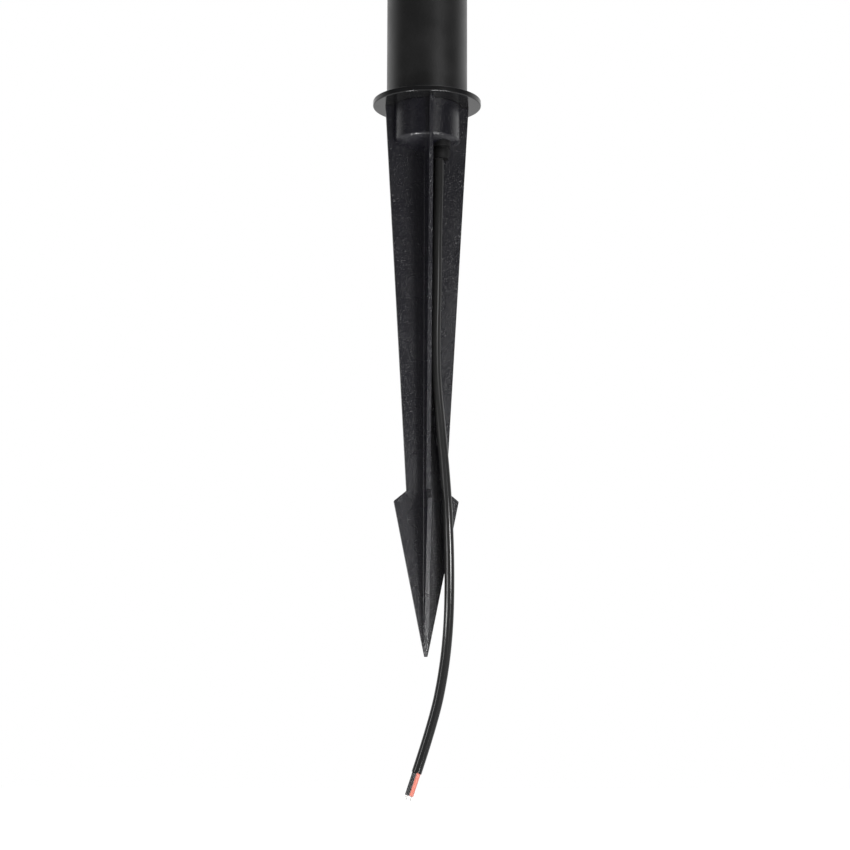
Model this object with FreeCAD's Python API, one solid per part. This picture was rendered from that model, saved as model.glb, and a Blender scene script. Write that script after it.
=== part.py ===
"""Spike bollard light: a round pole with a diffuser head, plugged on a barbed ground spike.

Millimetres, +Z up. The origin is on the pole's axis at the underside of the base flange, which is
the ground line: the pole stands above it, the spike and the supply cable hang below it. The
spike's four blades lie along X and Y. Each piece is written to parts/ as a STEP file of its own.
"""

import FreeCAD
import Part
import math
import os

# Fits, as radial or face clearances
TURN_FIT = 0.08
PLUG_FIT = 0.05
SCREW_FIT = 0.02
SEAL_GAP = 0.03
LEAD_FIT = 0.05

# Pole
POLE_OD = 50.0
POLE_WALL = 2.0
POLE_LENGTH = 300.0
LOCK_SCREW_HEIGHT = 20.0
LOCK_SCREW_DIAMETER = 4.0
LOCK_SCREW_INSET = 0.2

# Base flange, with the collar that plugs into the pole and over the spike's spigot
FLANGE_OVERHANG = 8.55
FLANGE_THICKNESS = 3.4
FLANGE_LOWER_ROUND = 0.7
FLANGE_UPPER_ROUND = 0.4
COLLAR_WALL = 4.34
COLLAR_LIP = 2.5

# Ground spike: hub and spigot
SPIGOT_HEIGHT = 45.0
SPIGOT_WALL = 2.5
SPIGOT_LEAD_IN = 1.0
HUB_STEP = 2.15
HUB_GAP = 0.2
HUB_HEIGHT = 22.5
DOME_DEPTH = 6.8
DOME_WALL = 3.0
SEAL_HEIGHT = 30.0
SEAL_SECTION = 2.0
SEAL_SIDE_GAP = 0.2

# Ground spike: blades and barbs, as distances from the axis and below the ground line
BLADE_TOP_REACH = 25.92
NECK_REACH = 12.08
BARB_REACH = 19.7
BARB_ROUND = 0.8
TIP_REACH = 1.0
POINT_REACH = 3.1
POINT_HEIGHT = 9.0
NECK_DEPTH = 240.6
BARB_DEPTH = 246.9
SPIKE_DEPTH = 340.2
BLADE_ROOT = 2.6
BLADE_EDGE = 2.4
ROOT_FILLET = 0.8

# Cable exit in the hub's floor
CABLE_DIAMETER = 6.0
EXIT_FORWARD = 9.2
GROMMET_OD = 12.0
GROMMET_OFFSET = 1.1
GROMMET_WALL = 0.6
GROMMET_SECOND_RIB = 11.0
GROMMET_GROOVE = 9.5
GROMMET_END = 9.3
GROMMET_BLADE_GAP = 0.3
GROMMET_SEAT_DEPTH = 24.7
GROMMET_RIB = 3.6
GROMMET_NECK_GAP = 1.4
GROMMET_TAIL = 6.1
GROMMET_LIP = 2.0
EXIT_PAD = 4.5
EXIT_PAD_MARGIN = 1.2
SPOT_FACE_MARGIN = 0.2
TIE_WIDTH = 3.6
TIE_THICKNESS = 1.1
TIE_HEAD = 4.0

# Supply cable: the points of its free stretch below the grommet, and its stripped end
CABLE_STRAIGHT = 17.5
CABLE_ROUTE = [
    (5.44, -9.3, -86.0),
    (5.29, -9.5, -118.0),
    (4.45, -9.7, -150.0),
    (4.96, -9.9, -176.0),
    (7.36, -10.0, -200.0),
    (9.87, -10.1, -226.0),
    (12.06, -10.3, -256.0),
    (13.05, -10.7, -290.0),
    (12.46, -11.2, -322.0),
    (9.37, -12.0, -350.0),
    (3.45, -13.0, -378.0),
    (-6.95, -14.4, -408.7),
]
CORE_DIAMETER = 2.5
CORE_LENGTH = 13.8
CORE_SPREAD = 0.03
CORE_TURN = 6.0
CONDUCTOR_DIAMETER = 1.1
CONDUCTOR_LENGTH = 2.6

# Share of its shorter run that a bend of a cord or wire takes up
BEND_SHARE = 0.45

# Lead inside the pole, with spare length for lifting the pole
LEAD_STRAIGHT = 24.0
LEAD_BOW = 7.0

# Terminal block, driver and the strip that carries them
STRIP_WIDTH = 24.0
STRIP_THICKNESS = 1.5
STRIP_SETBACK = 8.0
STRIP_TAIL = 4.0
FOOT_REACH = 18.0
FOOT_HOLE = 12.0
FOOT_SCREW_SPACING = 16.0
FOOT_SCREW_FORWARD = 4.0
TERMINAL_HEIGHT = 118.0
TERMINAL_SIZE = (18.0, 12.5, 14.0)
TERMINAL_SCREW_DIAMETER = 4.0
TERMINAL_SCREW_DEPTH = 1.5
DRIVER_HEIGHT = 150.0
DRIVER_SIZE = (26.0, 17.0, 70.0)
DRIVER_ROUND = 2.0
STRAP_WIDTH = 4.0
STRAP_THICKNESS = 1.2
STRAP_INSET = 14.0
WIRE_DIAMETER = 1.6
WIRE_SPACING = 8.0
WIRE_SPACING_IN_BUSH = 2.4
WIRE_PAD_SPACING = 14.0
WIRE_STRAIGHT = 16.0
WIRE_GATHER = 26.0
SOLDER = 0.05

# Head: base plug, board, diffuser, reflector and cap
BASE_SKIRT = 20.0
BASE_SKIRT_WALL = 3.0
BASE_RIM = 5.0
REGISTER_HEIGHT = 4.0
BASE_SEAL_SECTION = 2.0
BASE_SEAL_DROP = 6.0
BUSH_BORE = 4.4
BUSH_WALL = 2.2
BUSH_LIP = 1.2
BOARD_DIAMETER = 30.0
BOARD_THICKNESS = 1.6
BOARD_HOLE = 8.0
BOARD_SCREW_SPACING = 15.0
CHIP_SIZE = (3.5, 2.8, 0.8)
CHIP_CIRCLE = 24.0
CHIP_COUNT = 10
DIFFUSER_INSET = 0.5
DIFFUSER_WALL = 2.5
DIFFUSER_HEIGHT = 62.0
GASKET_THICKNESS = 0.8
CAP_HEIGHT = 18.0
CAP_ROUND = 1.5
REFLECTOR_HEIGHT = 34.0
REFLECTOR_DIAMETER = 29.0
REFLECTOR_TIP = 4.0
REFLECTOR_BEND_OUT = 0.35
REFLECTOR_BEND_UP = 0.6
REFLECTOR_STUB_DIAMETER = 10.0
REFLECTOR_STUB = 3.0
ROD_COUNT = 3
ROD_CIRCLE = 36.0
ROD_DIAMETER = 4.5
ROD_STUD_DEPTH = 6.0
ROD_START = 90.0
SMALL_SCREW_DIAMETER = 3.0
SMALL_SCREW_HEAD = 5.5
SMALL_SCREW_HEAD_HEIGHT = 2.0
SMALL_SCREW_LENGTH = 8.0
SOCKET_FLATS = 2.0
SOCKET_DEPTH = 1.0

# Radii and heights that follow from the sizes above
pole_r = POLE_OD / 2
pole_bore = pole_r - POLE_WALL
collar_r = pole_bore - TURN_FIT
collar_bore = collar_r - COLLAR_WALL
spigot_r = collar_bore - TURN_FIT
spigot_bore = spigot_r - SPIGOT_WALL
hub_r = spigot_r + HUB_STEP
hub_bottom = -HUB_GAP - HUB_HEIGHT
dome_bottom = hub_bottom - DOME_DEPTH
dome_r = (hub_r**2 + DOME_DEPTH**2) / (2 * DOME_DEPTH)
dome_centre = dome_bottom + dome_r
pole_top = FLANGE_THICKNESS + POLE_LENGTH
cable_r = CABLE_DIAMETER / 2
grommet_r = GROMMET_OD / 2
neck_r = cable_r + LEAD_FIT + GROMMET_OFFSET + GROMMET_WALL
deck_bottom = pole_top
deck_top = pole_top + BASE_RIM + REGISTER_HEIGHT
diffuser_r = pole_r - DIFFUSER_INSET
diffuser_bore = diffuser_r - DIFFUSER_WALL
register_r = diffuser_bore - PLUG_FIT
diffuser_bottom = pole_top + BASE_RIM + GASKET_THICKNESS
diffuser_top = diffuser_bottom + DIFFUSER_HEIGHT
cap_bottom = diffuser_top + GASKET_THICKNESS
cap_inner = cap_bottom - REGISTER_HEIGHT
cap_top = cap_bottom + CAP_HEIGHT
screw_r = SMALL_SCREW_DIAMETER / 2
screw_head_r = SMALL_SCREW_HEAD / 2
strip_front = STRIP_SETBACK
strip_back = STRIP_SETBACK + STRIP_THICKNESS
terminal_top = TERMINAL_HEIGHT + TERMINAL_SIZE[2]
driver_top = DRIVER_HEIGHT + DRIVER_SIZE[2]
foot_bottom = deck_bottom - STRIP_THICKNESS
foot_screws = [(side * FOOT_SCREW_SPACING / 2, -FOOT_SCREW_FORWARD) for side in (-1, 1)]
board_screws_at = [(0, side * BOARD_SCREW_SPACING / 2) for side in (-1, 1)]
rod_angles = [ROD_START + i * 360 / ROD_COUNT for i in range(ROD_COUNT)]


def blade_half(reach):
    """Half thickness of a blade at a distance from the axis: it is drafted from root to edge."""
    slope = (BLADE_ROOT - BLADE_EDGE) / BLADE_TOP_REACH
    return (BLADE_ROOT - slope * reach) / 2


grommet_x = blade_half(EXIT_FORWARD) + GROMMET_BLADE_GAP + grommet_r
exit_x = grommet_x - GROMMET_OFFSET
exit_y = -EXIT_FORWARD
grommet_seat = -GROMMET_SEAT_DEPTH
pad_top = grommet_seat + EXIT_PAD
lip_top = pad_top + GROMMET_LIP
grommet_bottom = grommet_seat - GROMMET_RIB - GROMMET_NECK_GAP - GROMMET_TAIL


def vec(x, y, z):
    return FreeCAD.Vector(x, y, z)


def on_circle(radius, degrees):
    """Point on a circle about the axis, as x and y."""
    return radius * math.cos(math.radians(degrees)), radius * math.sin(math.radians(degrees))


def face_xz(start, moves):
    """Closed face in the XZ plane. A move is a point, or a pair (through, end) for an arc."""
    edges = []
    here = vec(start[0], 0, start[1])
    for move in list(moves) + [start]:
        if isinstance(move[0], tuple):
            through, end = (vec(p[0], 0, p[1]) for p in move)
            edges.append(Part.Arc(here, through, end).toShape())
        else:
            end = vec(move[0], 0, move[1])
            edges.append(Part.LineSegment(here, end).toShape())
        here = end
    return Part.Face(Part.Wire(edges))


def round_corner(before, corner, after, radius):
    """Arc that rounds a corner of an XZ outline: where it begins, a point on it and where it ends."""
    here = vec(corner[0], 0, corner[1])
    back = (vec(before[0], 0, before[1]) - here).normalize()
    onward = (vec(after[0], 0, after[1]) - here).normalize()
    half = back.getAngle(onward) / 2
    inward = (back + onward).normalize()
    points = [
        here + back * (radius / math.tan(half)),
        here + inward * (radius / math.sin(half) - radius),
        here + onward * (radius / math.tan(half)),
    ]
    return [(p.x, p.z) for p in points]


def mirrored(point):
    """Point on the other side of an XZ outline."""
    return -point[0], point[1]


def turned(start, moves, x=0, y=0):
    """Solid of revolution about a vertical axis at x, y, from a half section."""
    solid = face_xz(start, moves).revolve(vec(0, 0, 0), vec(0, 0, 1), 360)
    return solid.translated(vec(x, y, 0))


def rod(radius, low, high, x=0, y=0):
    """Upright cylinder between two heights."""
    return Part.makeCylinder(radius, high - low, vec(x, y, low))


def ring(outer, inner, low, high, x=0, y=0):
    """Upright ring between two heights."""
    return rod(outer, low, high, x, y).cut(rod(inner, low, high, x, y))


def block(size, centre_x, back_y, low):
    """Box with a given middle in X, back face in Y and underside in Z."""
    return Part.makeBox(size[0], size[1], size[2], vec(centre_x - size[0] / 2, back_y - size[1], low))


def hex_socket(mouth, way):
    """Hexagon recess for a key, sunk into a screw from the middle of its head's face."""
    turn = FreeCAD.Rotation(vec(0, 0, 1), way)
    across = SOCKET_FLATS / math.sqrt(3)
    corners = [mouth + turn.multVec(vec(*on_circle(across, 60 * i), 0)) for i in range(7)]
    return Part.Face(Part.makePolygon(corners)).extrude(way * SOCKET_DEPTH)


def joined(solids):
    """One solid from pieces that touch, with its seams removed."""
    return solids[0].fuse(solids[1:]).removeSplitter()


def group(solids):
    """Separate solids under one name."""
    return Part.makeCompound(solids)


def save(name, shape):
    shape.exportStep("parts/" + name + ".step")


def dome_height(radius, sphere):
    """Height of a domed underside at a distance from the axis."""
    return dome_centre - math.sqrt(sphere**2 - radius**2)


def soft_path(points):
    """Straight runs joined by tangent arcs as large as the runs allow: wire, length and radii."""
    points = [vec(*p) for p in points]
    edges = []
    radii = []
    length = 0
    here = points[0]
    for before, corner, after in zip(points, points[1:], points[2:]):
        run_in = corner - before
        run_out = after - corner
        turn = run_in.getAngle(run_out)
        cut = BEND_SHARE * min(run_in.Length, run_out.Length)
        radius = cut / math.tan(turn / 2)
        ahead = FreeCAD.Vector(run_in).normalize()
        onward = FreeCAD.Vector(run_out).normalize()
        inward = (onward - ahead).normalize()
        begin = corner - ahead * cut
        end = corner + onward * cut
        through = corner + inward * (radius * (1 / math.cos(turn / 2) - 1))
        edges.append(Part.LineSegment(here, begin).toShape())
        edges.append(Part.Arc(begin, through, end).toShape())
        length += (begin - here).Length + radius * turn
        radii.append(round(radius, 1))
        here = end
    edges.append(Part.LineSegment(here, points[-1]).toShape())
    length += (points[-1] - here).Length
    return Part.Wire(edges), length, radii


def cord(name, points, diameter):
    """Round tube along a soft path, with its radii and volume printed."""
    path, length, radii = soft_path(points)
    start = vec(*points[0])
    direction = vec(*points[1]) - start
    section = Part.Wire(Part.makeCircle(diameter / 2, start, direction))
    tube = path.makePipeShell([section], True, False)
    expected = math.pi * diameter**2 / 4 * length
    print(name, "length", round(length, 1), "radii", radii, "volume", round(tube.Volume / expected, 4))
    return tube


def spike_cavity():
    """The space inside spigot and hub, down to the domed floor."""
    inner = dome_r - DOME_WALL
    corner = dome_height(spigot_bore, inner)
    bend = (spigot_bore / 2, dome_height(spigot_bore / 2, inner))
    floor = dome_bottom + DOME_WALL
    return turned(
        (0, floor), [(bend, (spigot_bore, corner)), (spigot_bore, SPIGOT_HEIGHT), (0, SPIGOT_HEIGHT)]
    )


def spike_hub():
    """Spigot, seal groove, hub and domed underside, before they are hollowed."""
    groove = spigot_r + TURN_FIT - SEAL_GAP - SEAL_SECTION
    groove_half = SEAL_SECTION / 2 + SEAL_SIDE_GAP
    return turned(
        (0, dome_bottom),
        [
            ((hub_r / 2, dome_height(hub_r / 2, dome_r)), (hub_r, hub_bottom)),
            (hub_r, -HUB_GAP),
            (spigot_r, -HUB_GAP),
            (spigot_r, SEAL_HEIGHT - groove_half),
            (groove, SEAL_HEIGHT - groove_half),
            (groove, SEAL_HEIGHT + groove_half),
            (spigot_r, SEAL_HEIGHT + groove_half),
            (spigot_r, SPIGOT_HEIGHT - SPIGOT_LEAD_IN),
            (spigot_r - SPIGOT_LEAD_IN, SPIGOT_HEIGHT),
            (0, SPIGOT_HEIGHT),
        ],
    )


def cross_section():
    """Plan of the four blades: drafted arms with a fillet in each of the four corners."""
    outer = BLADE_TOP_REACH + ROOT_FILLET
    slope = math.atan((BLADE_ROOT - BLADE_EDGE) / 2 / BLADE_TOP_REACH)
    corner = BLADE_ROOT / 2 / (1 + math.tan(slope))
    centre = corner + ROOT_FILLET * (1 / math.cos(slope) + math.tan(slope)) / (1 + math.tan(slope))
    touch = (centre - ROOT_FILLET * math.sin(slope), centre - ROOT_FILLET * math.cos(slope))
    middle = centre - ROOT_FILLET / math.sqrt(2)
    tip_half = blade_half(outer)
    edges = []
    for quarter in range(4):
        turn = FreeCAD.Rotation(vec(0, 0, 1), 90 * quarter)
        plan = [(outer, -tip_half), (outer, tip_half), touch, (middle, middle), touch[::-1]]
        plan.append((tip_half, outer))
        end_low, end_high, begin, through, end, next_low = (turn.multVec(vec(x, y, 0)) for x, y in plan)
        edges.append(Part.LineSegment(end_low, end_high).toShape())
        edges.append(Part.LineSegment(end_high, begin).toShape())
        edges.append(Part.Arc(begin, through, end).toShape())
        edges.append(Part.LineSegment(end, next_low).toShape())
    return Part.Face(Part.Wire(edges))


def spike_blades():
    """Four crossed blades with barbs, tapering to the point."""
    plan = cross_section().translated(vec(0, 0, -SPIKE_DEPTH))
    cross = plan.extrude(vec(0, 0, SPIKE_DEPTH - HUB_GAP))
    tip = (TIP_REACH, -SPIKE_DEPTH)
    neck = (NECK_REACH, -NECK_DEPTH)
    top = (BLADE_TOP_REACH, -HUB_GAP)
    begin, through, end = round_corner(tip, (BARB_REACH, -BARB_DEPTH), neck, BARB_ROUND)
    right = [begin, (through, end), neck, top]
    left = [mirrored(p) for p in (top, neck, end)]
    left += [(mirrored(through), mirrored(begin)), mirrored(tip)]
    side = face_xz(tip, right + left)
    depth = 2 * (BLADE_TOP_REACH + ROOT_FILLET)
    along_x = side.extrude(vec(0, depth, 0)).translated(vec(0, -depth / 2, 0))
    along_y = along_x.rotated(vec(0, 0, 0), vec(0, 0, 1), 90)
    point_top = (POINT_REACH, -SPIKE_DEPTH + POINT_HEIGHT)
    swarf = turned(tip, [(POINT_REACH, -SPIKE_DEPTH), point_top])
    return cross.common(along_x).common(along_y).cut(swarf)


def ground_spike():
    """One moulding: spigot and hub, domed floor with a cable exit, and the barbed blades."""
    pad_r = grommet_r + EXIT_PAD_MARGIN
    spot_r = grommet_r + SPOT_FACE_MARGIN
    pad = rod(pad_r, dome_bottom, pad_top, grommet_x, exit_y).common(rod(hub_r, dome_bottom, pad_top))
    hub = spike_hub()
    shell = hub.cut(spike_cavity()).fuse(pad.common(hub))
    shell = shell.cut(rod(spot_r, dome_bottom - DOME_DEPTH, grommet_seat, grommet_x, exit_y))
    shell = shell.cut(rod(neck_r, dome_bottom, pad_top, grommet_x, exit_y))
    blades = spike_blades().cut(spike_cavity())
    return joined([shell, blades])


def cable_grommet():
    """Rubber strain relief: two ribs below the floor, a neck through it and a lip inside the hub.

    Its bore lies off its middle, towards the front blade.
    """
    first = grommet_seat - GROMMET_RIB
    second = first - GROMMET_NECK_GAP
    body = turned(
        (0, grommet_bottom),
        [
            (GROMMET_END / 2, grommet_bottom),
            (GROMMET_SECOND_RIB / 2, second - GROMMET_TAIL / 2),
            (GROMMET_SECOND_RIB / 2, second),
            (GROMMET_GROOVE / 2, second),
            (GROMMET_GROOVE / 2, first),
            (grommet_r, first),
            (grommet_r, grommet_seat),
            (neck_r, grommet_seat),
            (neck_r, pad_top),
            (grommet_r, pad_top),
            (grommet_r, lip_top),
            (0, lip_top),
        ],
        grommet_x,
        exit_y,
    )
    bore = rod(cable_r + LEAD_FIT, grommet_bottom, lip_top, exit_x, exit_y)
    beyond_wall = ring(2 * hub_r, spigot_bore - LEAD_FIT, pad_top, lip_top)
    return body.cut(bore).cut(beyond_wall)


def lead_tie():
    """Nylon cable tie on the lead above the grommet, so that the lead can't be pulled out."""
    outer = cable_r + TIE_THICKNESS
    band = ring(outer, cable_r, lip_top, lip_top + TIE_WIDTH, exit_x, exit_y)
    head = Part.makeBox(TIE_HEAD, TIE_HEAD, TIE_WIDTH, vec(exit_x - TIE_HEAD / 2, exit_y + cable_r, lip_top))
    head = head.cut(rod(cable_r, lip_top, lip_top + TIE_WIDTH, exit_x, exit_y))
    return joined([band, head])


def spigot_seal():
    """Square-section rubber ring in the spigot's groove."""
    outer = spigot_r + TURN_FIT - SEAL_GAP
    low = SEAL_HEIGHT - SEAL_SECTION / 2
    return ring(outer, outer - SEAL_SECTION, low, low + SEAL_SECTION)


def inner_lead():
    """Cable from the grommet up through the spigot to the terminal block, with a slack bow."""
    held = lip_top + TIE_WIDTH - grommet_bottom + LEAD_FIT
    first_bend = grommet_bottom + held / (1 - BEND_SHARE)
    bow_height = (first_bend + TERMINAL_HEIGHT) / 2
    return cord(
        "inner_lead",
        [
            (exit_x, exit_y, grommet_bottom),
            (exit_x, exit_y, first_bend),
            (LEAD_BOW, LEAD_BOW, bow_height),
            (0, 0, TERMINAL_HEIGHT - LEAD_STRAIGHT),
            (0, 0, TERMINAL_HEIGHT),
        ],
        CABLE_DIAMETER,
    )


def supply_cable():
    """Free stretch of the sheathed cable, hanging below the grommet."""
    start = (exit_x, exit_y, grommet_bottom)
    below = (exit_x, exit_y, grommet_bottom - CABLE_STRAIGHT)
    return cord("supply_cable", [start, below] + CABLE_ROUTE, CABLE_DIAMETER)


def cable_end():
    """End of the sheath: its middle, the way the cable points, and the way across its two cores."""
    end = vec(*CABLE_ROUTE[-1])
    ahead = (end - vec(*CABLE_ROUTE[-2])).normalize()
    level = ahead.cross(vec(0, -1, 0)).normalize()
    across = FreeCAD.Rotation(ahead, CORE_TURN).multVec(level)
    return end, ahead, across


def core(side):
    """One insulated core standing out of the sheath, and its bare conductor."""
    end, ahead, across = cable_end()
    start = end + across * (side * (CORE_DIAMETER / 2 + CORE_SPREAD))
    insulation = Part.makeCylinder(CORE_DIAMETER / 2, CORE_LENGTH, start, ahead)
    tip = start + ahead * CORE_LENGTH
    conductor = Part.makeCylinder(CONDUCTOR_DIAMETER / 2, CONDUCTOR_LENGTH, tip, ahead)
    return insulation, conductor


def base_flange():
    """Flange on the ground, with a collar inside the pole and a lip that rests on the spigot."""
    outer = pole_r + FLANGE_OVERHANG
    bend = FLANGE_LOWER_ROUND * (1 - math.sqrt(0.5))
    brow = FLANGE_UPPER_ROUND * (1 - math.sqrt(0.5))
    top = SPIGOT_HEIGHT + COLLAR_LIP
    return turned(
        (collar_bore, 0),
        [
            (outer - FLANGE_LOWER_ROUND, 0),
            ((outer - bend, bend), (outer, FLANGE_LOWER_ROUND)),
            (outer, FLANGE_THICKNESS - FLANGE_UPPER_ROUND),
            ((outer - brow, FLANGE_THICKNESS - brow), (outer - FLANGE_UPPER_ROUND, FLANGE_THICKNESS)),
            (collar_r, FLANGE_THICKNESS),
            (collar_r, top - SPIGOT_LEAD_IN),
            (collar_r - SPIGOT_LEAD_IN, top),
            (spigot_bore, top),
            (spigot_bore, SPIGOT_HEIGHT),
            (collar_bore, SPIGOT_HEIGHT),
        ],
    )


def lock_screw_rod(radius, begin, end):
    """Cylinder along the lock screw's axis at the back, between two distances from the pole's axis."""
    height = FLANGE_THICKNESS + LOCK_SCREW_HEIGHT
    return Part.makeCylinder(radius, end - begin, vec(0, begin, height), vec(0, 1, 0))


def pole_tube():
    tube = ring(pole_r, pole_bore, FLANGE_THICKNESS, pole_top)
    radius = LOCK_SCREW_DIAMETER / 2 + SCREW_FIT
    return tube.cut(lock_screw_rod(radius, pole_bore - POLE_WALL, pole_r + POLE_WALL))


def lock_screw():
    """Grub screw at the back of the pole, with a hexagon socket."""
    outside = pole_r - LOCK_SCREW_INSET
    mouth = vec(0, outside, FLANGE_THICKNESS + LOCK_SCREW_HEIGHT)
    screw = lock_screw_rod(LOCK_SCREW_DIAMETER / 2, pole_bore, outside)
    return screw.cut(hex_socket(mouth, vec(0, -1, 0)))


def terminal_block():
    """Two-way screw terminal on the strip, where the lead's cores end."""
    body = block(TERMINAL_SIZE, 0, strip_front, TERMINAL_HEIGHT)
    front = strip_front - TERMINAL_SIZE[1]
    middle = TERMINAL_HEIGHT + TERMINAL_SIZE[2] / 2
    for side in (-1, 1):
        at = vec(side * WIRE_SPACING / 2, front, middle)
        well = Part.makeCylinder(TERMINAL_SCREW_DIAMETER / 2, TERMINAL_SCREW_DEPTH, at, vec(0, 1, 0))
        body = body.cut(well)
    return body


def driver_module():
    """Potted constant-current driver with rounded upright edges."""
    body = block(DRIVER_SIZE, 0, strip_front, DRIVER_HEIGHT)
    upright = [e for e in body.Edges if abs(e.BoundBox.ZLength - DRIVER_SIZE[2]) < 1e-6]
    return body.makeFillet(DRIVER_ROUND, upright)


def driver_strip():
    """Bent strip that hangs from the head's base and carries the driver and the terminal block."""
    low = TERMINAL_HEIGHT - STRIP_TAIL
    strip = block((STRIP_WIDTH, STRIP_THICKNESS, deck_bottom - low), 0, strip_back, low)
    foot = block((STRIP_WIDTH, FOOT_REACH, STRIP_THICKNESS), 0, strip_back, foot_bottom)
    bracket = joined([strip, foot])
    bracket = bracket.cut(rod(FOOT_HOLE / 2, foot_bottom, deck_bottom))
    for x, y in foot_screws:
        bracket = bracket.cut(rod(screw_r + SCREW_FIT, foot_bottom, deck_bottom, x, y))
    return bracket


def driver_straps():
    """Two cable straps round the driver and its strip."""
    inner = (DRIVER_SIZE[0], DRIVER_SIZE[1] + STRIP_THICKNESS, STRAP_WIDTH)
    outer = (inner[0] + 2 * STRAP_THICKNESS, inner[1] + 2 * STRAP_THICKNESS, STRAP_WIDTH)
    straps = []
    for low in (DRIVER_HEIGHT + STRAP_INSET, driver_top - STRAP_INSET - STRAP_WIDTH):
        band = block(outer, 0, strip_back + STRAP_THICKNESS, low)
        straps.append(band.cut(block(inner, 0, strip_back, low)))
    return group(straps)


def small_screw(x, y, seat, points_up):
    """Pan-head screw with its head against a face at a given height."""
    way = 1 if points_up else -1
    head = Part.makeCylinder(screw_head_r, SMALL_SCREW_HEAD_HEIGHT, vec(x, y, seat), vec(0, 0, -way))
    shank = Part.makeCylinder(screw_r, SMALL_SCREW_LENGTH, vec(x, y, seat), vec(0, 0, way))
    mouth = vec(x, y, seat - way * SMALL_SCREW_HEAD_HEIGHT)
    return joined([head, shank]).cut(hex_socket(mouth, vec(0, 0, way)))


def strip_screws():
    return group([small_screw(x, y, foot_bottom, True) for x, y in foot_screws])


def driver_wires():
    """Two short wires from the terminal block up to the driver."""
    return group(
        [
            rod(WIRE_DIAMETER / 2, terminal_top, DRIVER_HEIGHT, side * WIRE_SPACING / 2, 0)
            for side in (-1, 1)
        ]
    )


def board_wire(name, side):
    """Wire from the driver up through the bush and over to its pad on the board."""
    apart = side * WIRE_SPACING / 2
    close = side * WIRE_SPACING_IN_BUSH / 2
    pad = deck_top + BOARD_THICKNESS + SOLDER + WIRE_DIAMETER / 2
    return cord(
        name,
        [
            (apart, 0, driver_top),
            (apart, 0, driver_top + WIRE_STRAIGHT),
            (close, 0, driver_top + WIRE_STRAIGHT + WIRE_GATHER),
            (close, 0, pad),
            (side * WIRE_PAD_SPACING / 2, 0, pad),
        ],
        WIRE_DIAMETER,
    )


def head_base():
    """Turned plug in the pole's top: skirt with a seal groove, deck, rim and diffuser register."""
    skirt_r = pole_bore - PLUG_FIT
    skirt_bottom = pole_top - BASE_SKIRT
    groove_top = pole_top - BASE_SEAL_DROP
    groove_bottom = groove_top - BASE_SEAL_SECTION
    groove_r = pole_bore - BASE_SEAL_SECTION
    body = turned(
        (0, deck_bottom),
        [
            (skirt_r - BASE_SKIRT_WALL, deck_bottom),
            (skirt_r - BASE_SKIRT_WALL, skirt_bottom),
            (skirt_r, skirt_bottom),
            (skirt_r, groove_bottom),
            (groove_r, groove_bottom),
            (groove_r, groove_top),
            (skirt_r, groove_top),
            (skirt_r, pole_top),
            (pole_r, pole_top),
            (pole_r, pole_top + BASE_RIM),
            (register_r, pole_top + BASE_RIM),
            (register_r, deck_top),
            (0, deck_top),
        ],
    )
    body = body.cut(rod(BUSH_BORE / 2 + BUSH_WALL, deck_bottom, deck_top))
    for x, y in foot_screws:
        reach = SMALL_SCREW_LENGTH - STRIP_THICKNESS
        body = body.cut(rod(screw_r + SCREW_FIT, deck_bottom, deck_bottom + reach, x, y))
    for x, y in board_screws_at:
        reach = SMALL_SCREW_LENGTH - BOARD_THICKNESS
        body = body.cut(rod(screw_r + SCREW_FIT, deck_top - reach, deck_top, x, y))
    for angle in rod_angles:
        x, y = on_circle(ROD_CIRCLE / 2, angle)
        body = body.cut(rod(screw_r + SCREW_FIT, deck_top - ROD_STUD_DEPTH, deck_top, x, y))
    return body


def base_seal():
    """Square-section ring between the head's base and the pole."""
    top = pole_top - BASE_SEAL_DROP
    return ring(pole_bore, pole_bore - BASE_SEAL_SECTION, top - BASE_SEAL_SECTION, top)


def wire_bush():
    """Rubber bush through the deck, with a lip against its underside."""
    outer = BUSH_BORE / 2 + BUSH_WALL
    barrel = rod(outer, deck_bottom, deck_top)
    lip = rod((outer + FOOT_HOLE / 2) / 2, deck_bottom - BUSH_LIP, deck_bottom)
    return joined([barrel, lip]).cut(rod(BUSH_BORE / 2, deck_bottom - BUSH_LIP, deck_top))


def led_board():
    board = ring(BOARD_DIAMETER / 2, BOARD_HOLE / 2, deck_top, deck_top + BOARD_THICKNESS)
    for x, y in board_screws_at:
        board = board.cut(rod(screw_r + SCREW_FIT, deck_top, deck_top + BOARD_THICKNESS, x, y))
    return board


def led_chips():
    """Ring of light-emitting chips on the board."""
    low = deck_top + BOARD_THICKNESS
    chips = []
    for i in range(CHIP_COUNT):
        angle = 360 / CHIP_COUNT * (i + 0.5)
        chip = block(CHIP_SIZE, 0, CHIP_SIZE[1] / 2, low)
        chip = chip.translated(vec(0, CHIP_CIRCLE / 2, 0))
        chips.append(chip.rotated(vec(0, 0, 0), vec(0, 0, 1), angle - 90))
    return group(chips)


def board_screws():
    top = deck_top + BOARD_THICKNESS
    return group([small_screw(x, y, top, False) for x, y in board_screws_at])


def gasket(low):
    """Flat silicone ring under or over the diffuser."""
    return ring(diffuser_r, register_r + PLUG_FIT, low, low + GASKET_THICKNESS)


def diffuser():
    return ring(diffuser_r, diffuser_bore, diffuser_bottom, diffuser_top)


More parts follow.
